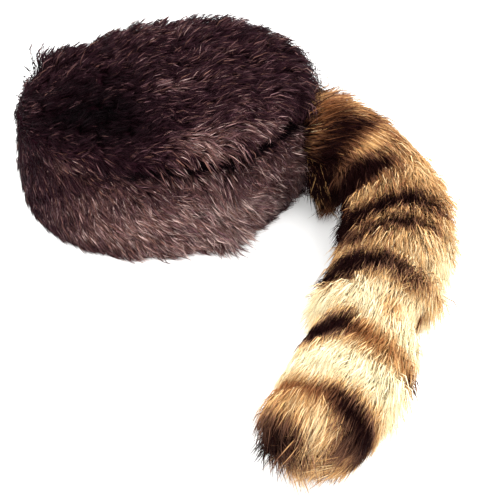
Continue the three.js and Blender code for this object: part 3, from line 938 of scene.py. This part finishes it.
def fur_material(name, tone_key, cool, warm, depth, spread, shine, roughness):
    """Hair coloured along two ramps, for cool and for warm hair.

    The roots are darkened to the share depth: painted shade, as underfur keeps light from
    them. spread is how much hairs differ in tone. Dark hair is dull, and the palest has all the shine.
    """
    material, tree, shader = new_material(name, {"Roughness": roughness, "Specular IOR Level": 0.1})
    values = {
        key: add_node(tree, "ShaderNodeAttribute", {"attribute_name": key}).outputs["Fac"]
        for key in (tone_key, "warm", "along", "tone")
    }
    cool, warm = (
        add_node(tree, "ShaderNodeValToRGB", links={"Fac": values[tone_key]}, stops=stops).outputs["Color"]
        for stops in (cool, warm)
    )
    # Sockets 6 and 7 are the two colours that are mixed, and output 2 is the result.
    blend = add_node(
        tree, "ShaderNodeMix", {"data_type": "RGBA"}, {"Factor": values["warm"], 6: cool, 7: warm},
    ).outputs[2]
    # Painted shade: each hair is darker towards its root.
    ranges = {
        "along": {"From Max": 0.75, "To Min": depth, "To Max": 1},
        "tone": {"To Min": 1 - spread, "To Max": 1 + spread},
    }
    painted_root_shade, tone = (
        add_node(tree, "ShaderNodeMapRange", limits, {"Value": values[key]}).outputs[0]
        for key, limits in ranges.items()
    )
    both = add_node(tree, "ShaderNodeMath", {"operation": "MULTIPLY"}, {0: painted_root_shade, 1: tone}).outputs[0]
    scale = {"operation": "SCALE"}
    tint = add_node(tree, "ShaderNodeVectorMath", scale, {0: blend, "Scale": both}).outputs[0]
    bright = add_node(tree, "ShaderNodeRGBToBW", links={"Color": tint}).outputs[0]
    sheens = {"From Max": 0.25, "To Min": 0.02, "To Max": shine}
    sheen = add_node(tree, "ShaderNodeMapRange", sheens, {"Value": bright}).outputs[0]
    tree.links.new(tint, shader.inputs["Base Color"])
    tree.links.new(sheen, shader.inputs["Specular IOR Level"])
    return material


def cap_fur_material(colours, name):
    """Dyed raccoon guard hair, brushed flat: dark, silky, with lighter hair ends and painted shade at the
    roots.
    """
    cool = [(0, colours.cap_black), (0.35, colours.cap_dark), (0.7, colours.cap_brown), (1, colours.cap_pale)]
    warm = [(0, colours.cap_black), (0.35, colours.cap_dark), (0.75, colours.cap_rust), (1, colours.cap_pale)]
    return fur_material(name, "shade", cool, warm, depth=0.3, spread=0.45, shine=0.35, roughness=0.38)


def tail_fur_material(colours, name, depth=0.7):
    """Raccoon tail hair, undyed: cream to gold, with rings of brown to black."""
    cool = [
        (0, colours.tail_cream), (0.3, colours.tail_gold),
        (0.55, colours.tail_umber), (0.82, colours.tail_black),
    ]
    warm = [(0, colours.tail_gold), (0.48, colours.tail_rust), (0.85, colours.tail_black)]
    return fur_material(name, "dark", cool, warm, depth, spread=0.25, shine=0.2, roughness=0.5)


def pelt_material(name, settings, stops, tint_grain, bump_grain, bump):
    """A cloudy surface with a fine grain that stands up. A grain is its size and detail."""
    material, tree, shader = new_material(name, settings)
    coordinates = add_node(tree, "ShaderNodeTexCoord").outputs["Object"]
    clouds, nap = (
        add_node(tree, "ShaderNodeTexNoise", {"Scale": 1 / size, "Detail": detail}, {"Vector": coordinates})
        for size, detail in (tint_grain, bump_grain)
    )
    ramp = add_node(tree, "ShaderNodeValToRGB", links={"Fac": clouds.outputs["Fac"]}, stops=stops)
    relief = add_node(tree, "ShaderNodeBump", bump, {"Height": nap.outputs["Fac"]})
    tree.links.new(ramp.outputs["Color"], shader.inputs["Base Color"])
    tree.links.new(relief.outputs["Normal"], shader.inputs["Normal"])
    return material


def underfur_material(colours, name):
    """Short dense underfur on the hide, nearly black between the longer hairs."""
    stops = [(0.3, colours.cap_black), (0.8, colours.cap_dark)]
    tufts = (3 * MM, 3)
    matt = {"Roughness": 0.95, "Specular IOR Level": 0}
    return pelt_material(name, matt, stops, tufts, tufts, {"Strength": 0.6, "Distance": 1 * MM})


def flesh_side_material(colours, name):
    """Tanned flesh side of a pelt: matt tan suede with a fine nap and cloudy stains."""
    tan = Vector(colours.flesh_side)
    stops = [(0.35, tan * 0.72), (0.65, tan)]
    clouds, nap = (25 * MM, 4), (1.2 * MM, 6)
    suede = {"Roughness": 0.9, "Sheen Weight": 0.25}
    return pelt_material(name, suede, stops, clouds, nap, {"Strength": 0.4, "Distance": 0.4 * MM})


def shared(make, colours, name):
    """A material that is made once, for all the pieces that have it."""
    return bpy.data.materials.get(name) or make(colours, name)


def hide_materials(colours):
    return [
        shared(underfur_material, colours, "raccoon_underfur"),
        shared(flesh_side_material, colours, "tanned_pelt_flesh_side"),
    ]


# Pieces


def skin_of(rings):
    """Rings of points joined to a surface that hair can be laid on."""
    n = len(rings[0])
    polygons = []
    for r in range(len(rings) - 1):
        for k in range(n):
            a, b = r * n + k, r * n + (k + 1) % n
            polygons.append((a, b, b + n, a + n))
    polygons.append(tuple(range((len(rings) - 1) * n, len(rings) * n)))
    return BVHTree.FromPolygons([tuple(v) for v in np.concatenate(rings)], polygons)


def cap_skin(cap):
    """The outside of the whole cap, carried on below the rim."""
    corners, band_rings, panel_rings, pole_gap, below_rim = 96, 16, 33, 0.05, 25 * MM
    angle = np.linspace(0, TAU, corners, endpoint=False)
    upward = rings_of(band_surface(cap), 0, len(BAND_PROFILE) - 1, band_rings)
    upward += rings_of(panel_surface(cap), 0, len(PANEL_PROFILE) - 1 - pole_gap, panel_rings)
    rings = [ring(angle) for ring in upward]
    return skin_of([rings[0] - np.array([0, 0, below_rim]), *rings])


def tail_skin(cap, tail):
    """The outside of the tail's core up to where it rounds off, carried straight on."""
    corners, rings_along, past_tip = 48, 60, (15, 30, 45)
    surface = tail_surface(cap, tail)
    angle = np.linspace(0, TAU, corners, endpoint=False)
    last = len(TAIL_SECTIONS) - TIP_ROWS
    rings = [ring(angle) for ring in rings_of(surface, 0, last, rings_along)]
    onward = way_of(math.radians(TAIL_SECTIONS[last]["heading"]))
    rings += [rings[-1] + onward * reach * MM for reach in past_tip]
    return skin_of(rings)


def cap_tones_with_painted_light(cap, places, rng, ground):
    """Shade and warmth of each hair, from where it lies on the cap, with its painted light and shade."""
    scale = np.array([cap.rim_length / 2, cap.rim_width / 2, cap.seam_height])
    share = places / scale
    shade = np.full(len(places), ground[0])
    warm = np.full(len(places), ground[1])
    for tone in CAP_TONES_AND_PAINTED_LIGHT:
        middle = np.array([tone[key] for key in "xyz"])
        weight = np.exp(-((share - middle) ** 2).sum(-1) / tone["reach"] ** 2)
        shade = mix(shade, tone["shade"], weight)
        warm = mix(warm, tone["warm"], weight)
    angle = np.degrees(np.arctan2(share[:, 1], share[:, 0]))
    in_painted_groove_shadow = (angle > GROOVE_FROM) & (angle < GROOVE_TO)
    in_painted_groove_shadow &= np.abs(share[:, 2] - GROOVE_HEIGHT) < GROOVE_HALF
    cloudy = sum(strength * drift(places, span)[:, k] for k, (strength, span) in enumerate(CLOUDS))
    # Lighter fur varies more, and pale hairs, partly painted glints, make up for what the others lose.
    shade = shade + (0.35 + 0.8 * shade) * (cloudy + rng.normal(0, SHADE_SPREAD, len(places)))
    pale = rng.random(len(places)) < mix(*PALE_SHARE, np.clip(shade, 0, 1))
    shade = 0.8 * shade + np.where(pale, rng.uniform(*PALE_LIFT, len(places)), 0)
    # Painted shadow in the seam's groove: its hair is set nearly black.
    shade = np.where(in_painted_groove_shadow, GROOVE_PAINTED_SHADOW, shade)
    return np.clip(shade, 0, 1), np.clip(warm + rng.normal(0, WARM_SPREAD, len(places)), 0, 1)


def cap_coat(name, settings, skin, seed, surface, rows, growth, ground, node, slot):
    """One coat of fur between two rows of a part of the cap. ground is its shade and warmth."""
    cap, fur = settings.cap, settings.fur
    rng = np.random.default_rng(fur.seed + seed)
    angle, row, roots, normals, _ = plant(surface, rows, fur.cap_hairs, seed)
    shape = {"length": fur.cap_length, "rise": fur.cap_rise, "clump": fur.cap_clump, **CAP_HAIR}
    at = column(growth, "row")
    full, stretch = (np.interp(row, at, column(growth, key)) for key in ("full", "length"))
    around = np.interp(np.degrees(angle), column(CAP_FUR, "angle"), column(CAP_FUR, "full"), period=360)
    # 0 on the sides, and 1 where the top is flat.
    flat = np.clip(5 * normals[:, 2] - 4, 0, 1)
    full *= mix(around, 1, flat)
    tail_root = tail_surface(cap, settings.tail)(np.array([0, math.pi]), np.zeros(2)).mean(0)
    full = np.minimum(full + np.exp(-((roots - tail_root) ** 2).sum(-1) / ROOT_REACH**2), FULLEST)
    flow = unit(COMB - normals * dot(normals, COMB))
    paths = hair_paths(roots, normals, flow, shape, rng, skin, fullness=full, stretch=stretch)
    shade, warm = cap_tones_with_painted_light(cap, paths[:, 1], rng, ground)
    piece = hair_mesh(name, paths, fur.cap_width, rng, {"shade": shade, "warm": warm})
    material = shared(cap_fur_material, settings.colours, "raccoon_guard_hair_dark")
    finish_piece(piece, [material], node, slot)


def tail_marks(along, angle, rng):
    """Darkness and warmth of the tail at places along and round it, a hair to a row."""
    one_each = (len(along), 1)
    along = along + rng.normal(0, TAIL_SPREAD["along"], one_each)
    degrees = np.degrees(angle) + rng.normal(0, TAIL_SPREAD["round"], one_each)
    degrees = (degrees - FIRST_ANGLE) % 360 + FIRST_ANGLE
    ground = row_at(TAIL_GROUND, "along", along)
    dark = read_table(TAIL_GROUND, "dark", ground) * rng.normal(1, TAIL_SPREAD["ground"], one_each)
    warm = read_table(TAIL_GROUND, "warm", ground)
    for patch in PATCHES:
        off, turn = (along - patch["along"]) / patch["length"], (degrees - patch["angle"]) / patch["turn"]
        weight = np.exp(-off**2 - turn**2)
        dark, warm = mix(dark, patch["dark"], weight), mix(warm, patch["warm"], weight)
    for number in sorted({row["ring"] for row in UNDER_RINGS + RINGS}):
        path = [row for row in UNDER_RINGS + RINGS if row["ring"] == number]
        at = column(path, "angle")
        place, half, deep, glow = (np.interp(degrees, at, column(path, key)) for key in RING_COLUMNS[2:])
        beyond = np.maximum(np.maximum(at[0] - degrees, degrees - at[-1]), 0) / RING_FADE
        weight = np.exp(-np.abs((along - place) / half) ** 3 - beyond**2)
        dark, warm = mix(dark, deep, weight), mix(warm, glow, weight)
    dark = dark + rng.normal(0, TAIL_SPREAD["dark"], one_each)
    warm = warm + rng.normal(0, TAIL_SPREAD["warm"], one_each)
    return np.clip(dark, 0, 1), np.clip(warm, 0, 1)


def mark_core(settings, mesh, surface):
    """The tail's marks on its core, from where each corner lies along and round its middle."""
    rng = np.random.default_rng(settings.fur.seed)
    core = np.array([v.co for v in mesh.vertices])
    shares, x, y = tail_line(settings.cap, settings.tail)
    near = np.argmin((core[:, :1] - x) ** 2 + (core[:, 1:2] - y) ** 2, axis=1)
    heading = np.arctan2(np.gradient(y), np.gradient(x))[near]
    across = -np.sin(heading) * (core[:, 0] - x[near]) + np.cos(heading) * (core[:, 1] - y[near])
    height = core[:, 2] - surface(np.zeros(len(core)), row_at(TAIL_SECTIONS, "along", shares[near]))[:, 2]
    dark, warm = tail_marks(shares[near][:, None], np.arctan2(height, across)[:, None], rng)
    # along is 0 all over the core, so all of it takes the hairs' painted root shade.
    for key, value in {"dark": dark, "warm": warm, "along": 0 * dark, "tone": 0.5 + 0 * dark}.items():
        write_attribute(mesh, key, value)


def tail_hair(name, settings, paths, dark, warm, rng):
    piece = hair_mesh(name, paths, settings.fur.tail_width, rng, {"dark": dark, "warm": warm})
    material = shared(tail_fur_material, settings.colours, "raccoon_tail_hair")
    finish_piece(piece, [material], "tail", "tail_fur")


def tail_coat(name, settings, surface, skin, seed):
    """One coat of long fur on the tail."""
    tail, fur = settings.tail, settings.fur
    rng = np.random.default_rng(fur.seed + seed)
    rows = (0, len(TAIL_SECTIONS) - 1 - POLE_GAP)
    angle, row, roots, normals, onward = plant(surface, rows, fur.tail_hairs, seed)
    along, heading = read_all(TAIL_SECTIONS, row)[:2]
    _, left, right, stretch = read_all(TAIL_FUR, row_at(TAIL_FUR, "along", along + FUR_AHEAD))
    full = mix(left, right, (1 - np.cos(angle)) / 2)
    rounding = np.clip(row - (len(TAIL_SECTIONS) - TIP_ROWS - 0.5), 0, 1)
    flow = unit(mix(onward, way_of(np.radians(heading)), rounding[:, None]))
    paths = hair_paths(
        roots, normals, flow, tail_shape(fur, TAIL_HAIR), rng, skin,
        hold=1 - rounding, fullness=full, stretch=stretch,
    )
    marked = mix(MARKED_FROM, MARKED_TO, KNOTS)
    places = along[:, None] + marked * stretch[:, None] * fur.tail_length / tail.length
    dark, warm = tail_marks(places, angle[:, None], rng)
    tail_hair(name, settings, paths, dark, warm, rng)


def lobe_coat(name, settings):
    """The hair of the flap: nearly black, with pale hairs along one edge and reddish ends below."""
    fur = settings.fur
    rng = np.random.default_rng(fur.seed + 6)
    rows = (0, len(LOBE) - 1 - POLE_GAP)
    angle, row, roots, normals, onward = plant(lobe_surface(), rows, fur.lobe_hairs)
    paths = hair_paths(roots, normals, onward, tail_shape(fur, LOBE_HAIR), rng, fullness=0.4)
    at_edge = np.cos(angle - math.pi) > 0.6
    pale = (at_edge & (rng.random(len(row)) < 0.12))[:, None]
    below = np.clip(row - 1.8, 0, 1)[:, None]
    reddish = np.array([0, 0.3, 0.3, 0.3, 1]) * below * rng.random((len(row), 1))
    dark = np.where(pale, 0.3, mix(0.95, 0.5, reddish))
    warm = np.where(pale, 0.5, mix(0.1, 0.9, reddish))
    tail_hair(name, settings, paths, dark, warm, rng)


class FURCAP_OT_band_hide(bpy.types.Operator):
    """The upright band of the cap, a hide with a plain rim"""

    bl_idname = "furcap.band_hide"
    bl_label = "Band Hide"

    def execute(self, context):
        settings = context.scene.fur_cap
        surface = band_surface(settings.cap)
        piece = draw_up("band_hide", rings_of(surface, 0, len(BAND_PROFILE) - 1, BAND_RINGS), CAP_SEGMENTS)
        thicken(piece, settings.cap.hide_thickness, inner_slot=1)
        finish_piece(piece, hide_materials(settings.colours), "side_band", "band_fur")
        return {"FINISHED"}


class FURCAP_OT_panel_hide(bpy.types.Operator):
    """The oval top panel of the cap, with its edge turned down into the seam"""

    bl_idname = "furcap.panel_hide"
    bl_label = "Panel Hide"

    def execute(self, context):
        settings = context.scene.fur_cap
        cap = settings.cap
        surface = panel_surface(cap)
        inset = cap.hide_thickness + cap.seam_gap
        halves = [half - inset for half in seam_halves(cap)]

        def flange(drop):
            return lambda angle: settle(cap, oval(cap, angle, *halves, cap.seam_height - drop))

        rings = [flange(cap.seam_allowance), flange(-cap.seam_gap)]
        rings += rings_of(surface, 0, len(PANEL_PROFILE) - 1, PANEL_RINGS)
        piece = draw_up("panel_hide", rings, CAP_SEGMENTS)
        thicken(piece, cap.hide_thickness, inner_slot=1)
        finish_piece(piece, hide_materials(settings.colours), "top_panel", "top_fur")
        return {"FINISHED"}


class FURCAP_OT_tail_hide(bpy.types.Operator):
    """The core of the tail, a hide sewn into a tapered roll"""

    bl_idname = "furcap.tail_hide"
    bl_label = "Tail Hide"

    def execute(self, context):
        settings = context.scene.fur_cap
        surface = tail_surface(settings.cap, settings.tail)
        last = len(TAIL_SECTIONS) - 1
        first = row_at(TAIL_SECTIONS, "along", 0.01)

        def pole(row):
            def ring(angle):
                ends = surface(np.array([0, math.pi]), np.full(2, row))
                return np.broadcast_to(ends.mean(0), (len(angle), 3))
            return ring

        rings = [pole(first), *rings_of(surface, first, last, TAIL_RINGS), pole(last)]
        piece = draw_up("tail_hide", rings, TAIL_SEGMENTS)
        mark_core(settings, piece.data, surface)
        # The core's marks are darkened to 0.35: painted shade under the tail's fur.
        material = tail_fur_material(settings.colours, "raccoon_tail_underfur", 0.35)
        finish_piece(piece, [material], "tail", "tail_fur")
        return {"FINISHED"}


class FURCAP_OT_cap_fur(bpy.types.Operator):
    """The cap's fur: one coat on the top panel and two on the band"""

    bl_idname = "furcap.cap_fur"
    bl_label = "Cap Fur"

    def execute(self, context):
        settings = context.scene.fur_cap
        skin = cap_skin(settings.cap)
        panel, band = panel_surface(settings.cap), band_surface(settings.cap)
        panel_rows, band_rows = (0.5, len(PANEL_PROFILE) - 1 - POLE_GAP), (0, len(BAND_PROFILE) - 1)
        on_panel = (panel, panel_rows, PANEL_GROWTH, PANEL_GROUND, "top_panel", "top_fur")
        on_band = (band, band_rows, BAND_GROWTH, BAND_GROUND, "side_band", "band_fur")
        cap_coat("panel_fur", settings, skin, 1, *on_panel)
        cap_coat("band_fur_lower", settings, skin, 2, *on_band)
        cap_coat("band_fur_upper", settings, skin, 3, *on_band)
        return {"FINISHED"}


class FURCAP_OT_tail_fur(bpy.types.Operator):
    """The tail's long ringed fur, in two coats, and the flap of fur at its root"""

    bl_idname = "furcap.tail_fur"
    bl_label = "Tail Fur"

    def execute(self, context):
        settings = context.scene.fur_cap
        surface = tail_surface(settings.cap, settings.tail)
        skin = tail_skin(settings.cap, settings.tail)
        tail_coat("tail_fur_lower", settings, surface, skin, 4)
        tail_coat("tail_fur_upper", settings, surface, skin, 5)
        lobe_coat("tail_lobe_fur", settings)
        return {"FINISHED"}


class FURCAP_OT_stage(bpy.types.Operator):
    """A pale floor, soft studio light and the camera"""

    bl_idname = "furcap.stage"
    bl_label = "Stage"

    def execute(self, context):
        look = context.scene.fur_cap.stage
        deselect()
        bpy.ops.mesh.primitive_plane_add(size=FLOOR_SIDE, location=(0, 0, 0))
        floor = context.object
        floor.name = "floor"
        paper = {"Base Color": (*look.floor, 1), "Roughness": 1, "Specular IOR Level": 0}
        floor.data.materials.append(new_material("matt_white_paper", paper)[0])
        world = bpy.data.worlds.new("studio")
        world.use_nodes = True
        sky = world.node_tree.nodes["Background"]
        sky.inputs["Color"].default_value = (1, 1, 1, 1)
        sky.inputs["Strength"].default_value = look.sky
        context.scene.world = world
        bpy.ops.object.light_add(type="AREA", location=LAMP_PLACE)
        lamp = context.object
        lamp.name = "key_light"
        lamp.data.energy = look.key_power
        lamp.data.size = LAMP_SIZE
        lamp.rotation_euler = (-Vector(LAMP_PLACE)).to_track_quat("-Z", "Y").to_euler()
        azimuth, elevation = math.radians(look.camera_azimuth), math.radians(look.camera_elevation)
        back = Vector((
            math.sin(azimuth) * math.cos(elevation),
            -math.cos(azimuth) * math.cos(elevation),
            math.sin(elevation),
        ))
        right = Vector((math.cos(azimuth), math.sin(azimuth), 0))
        up = back.cross(right)
        roll = math.radians(look.camera_roll)
        right, up = right * math.cos(roll) + up * math.sin(roll), up * math.cos(roll) - right * math.sin(roll)
        camera = bpy.data.objects.new("camera", bpy.data.cameras.new("camera"))
        context.scene.collection.objects.link(camera)
        turn = Matrix((right, up, back)).transposed()
        place = Vector(CAMERA_AIM) + back * look.camera_distance
        camera.matrix_world = Matrix.Translation(place) @ turn.to_4x4()
        camera.data.sensor_width = SENSOR
        camera.data.lens = look.camera_lens
        context.scene.camera = camera
        context.scene.view_settings.view_transform = "Standard"
        return {"FINISHED"}


OPERATORS = [
    FURCAP_OT_band_hide, FURCAP_OT_panel_hide, FURCAP_OT_tail_hide,
    FURCAP_OT_cap_fur, FURCAP_OT_tail_fur, FURCAP_OT_stage,
]


class FURCAP_PT_panel(bpy.types.Panel):
    bl_idname = "FURCAP_PT_panel"
    bl_label = "Fur Cap"
    bl_space_type = "VIEW_3D"
    bl_region_type = "UI"
    bl_category = "Fur Cap"

    def draw(self, context):
        for operator in OPERATORS:
            self.layout.operator(operator.bl_idname)
        settings = context.scene.fur_cap
        for group in (settings.cap, settings.tail, settings.fur, settings.colours, settings.stage):
            box = self.layout.box()
            for key in group.__annotations__:
                box.prop(group, key)


CLASSES = [
    CapSizes, TailSizes, FurSizes, FurColours, StageLook, FurCapSettings, *OPERATORS, FURCAP_PT_panel,
]


def register():
    for entry in CLASSES:
        bpy.utils.register_class(entry)
    bpy.types.Scene.fur_cap = PointerProperty(type=FurCapSettings)


def unregister():
    del bpy.types.Scene.fur_cap
    for entry in reversed(CLASSES):
        bpy.utils.unregister_class(entry)


def main():
    register()
    bpy.ops.furcap.band_hide()
    bpy.ops.furcap.panel_hide()
    bpy.ops.furcap.tail_hide()
    bpy.ops.furcap.cap_fur()
    bpy.ops.furcap.tail_fur()
    bpy.ops.furcap.stage()


if __name__ == "__main__":
    main()
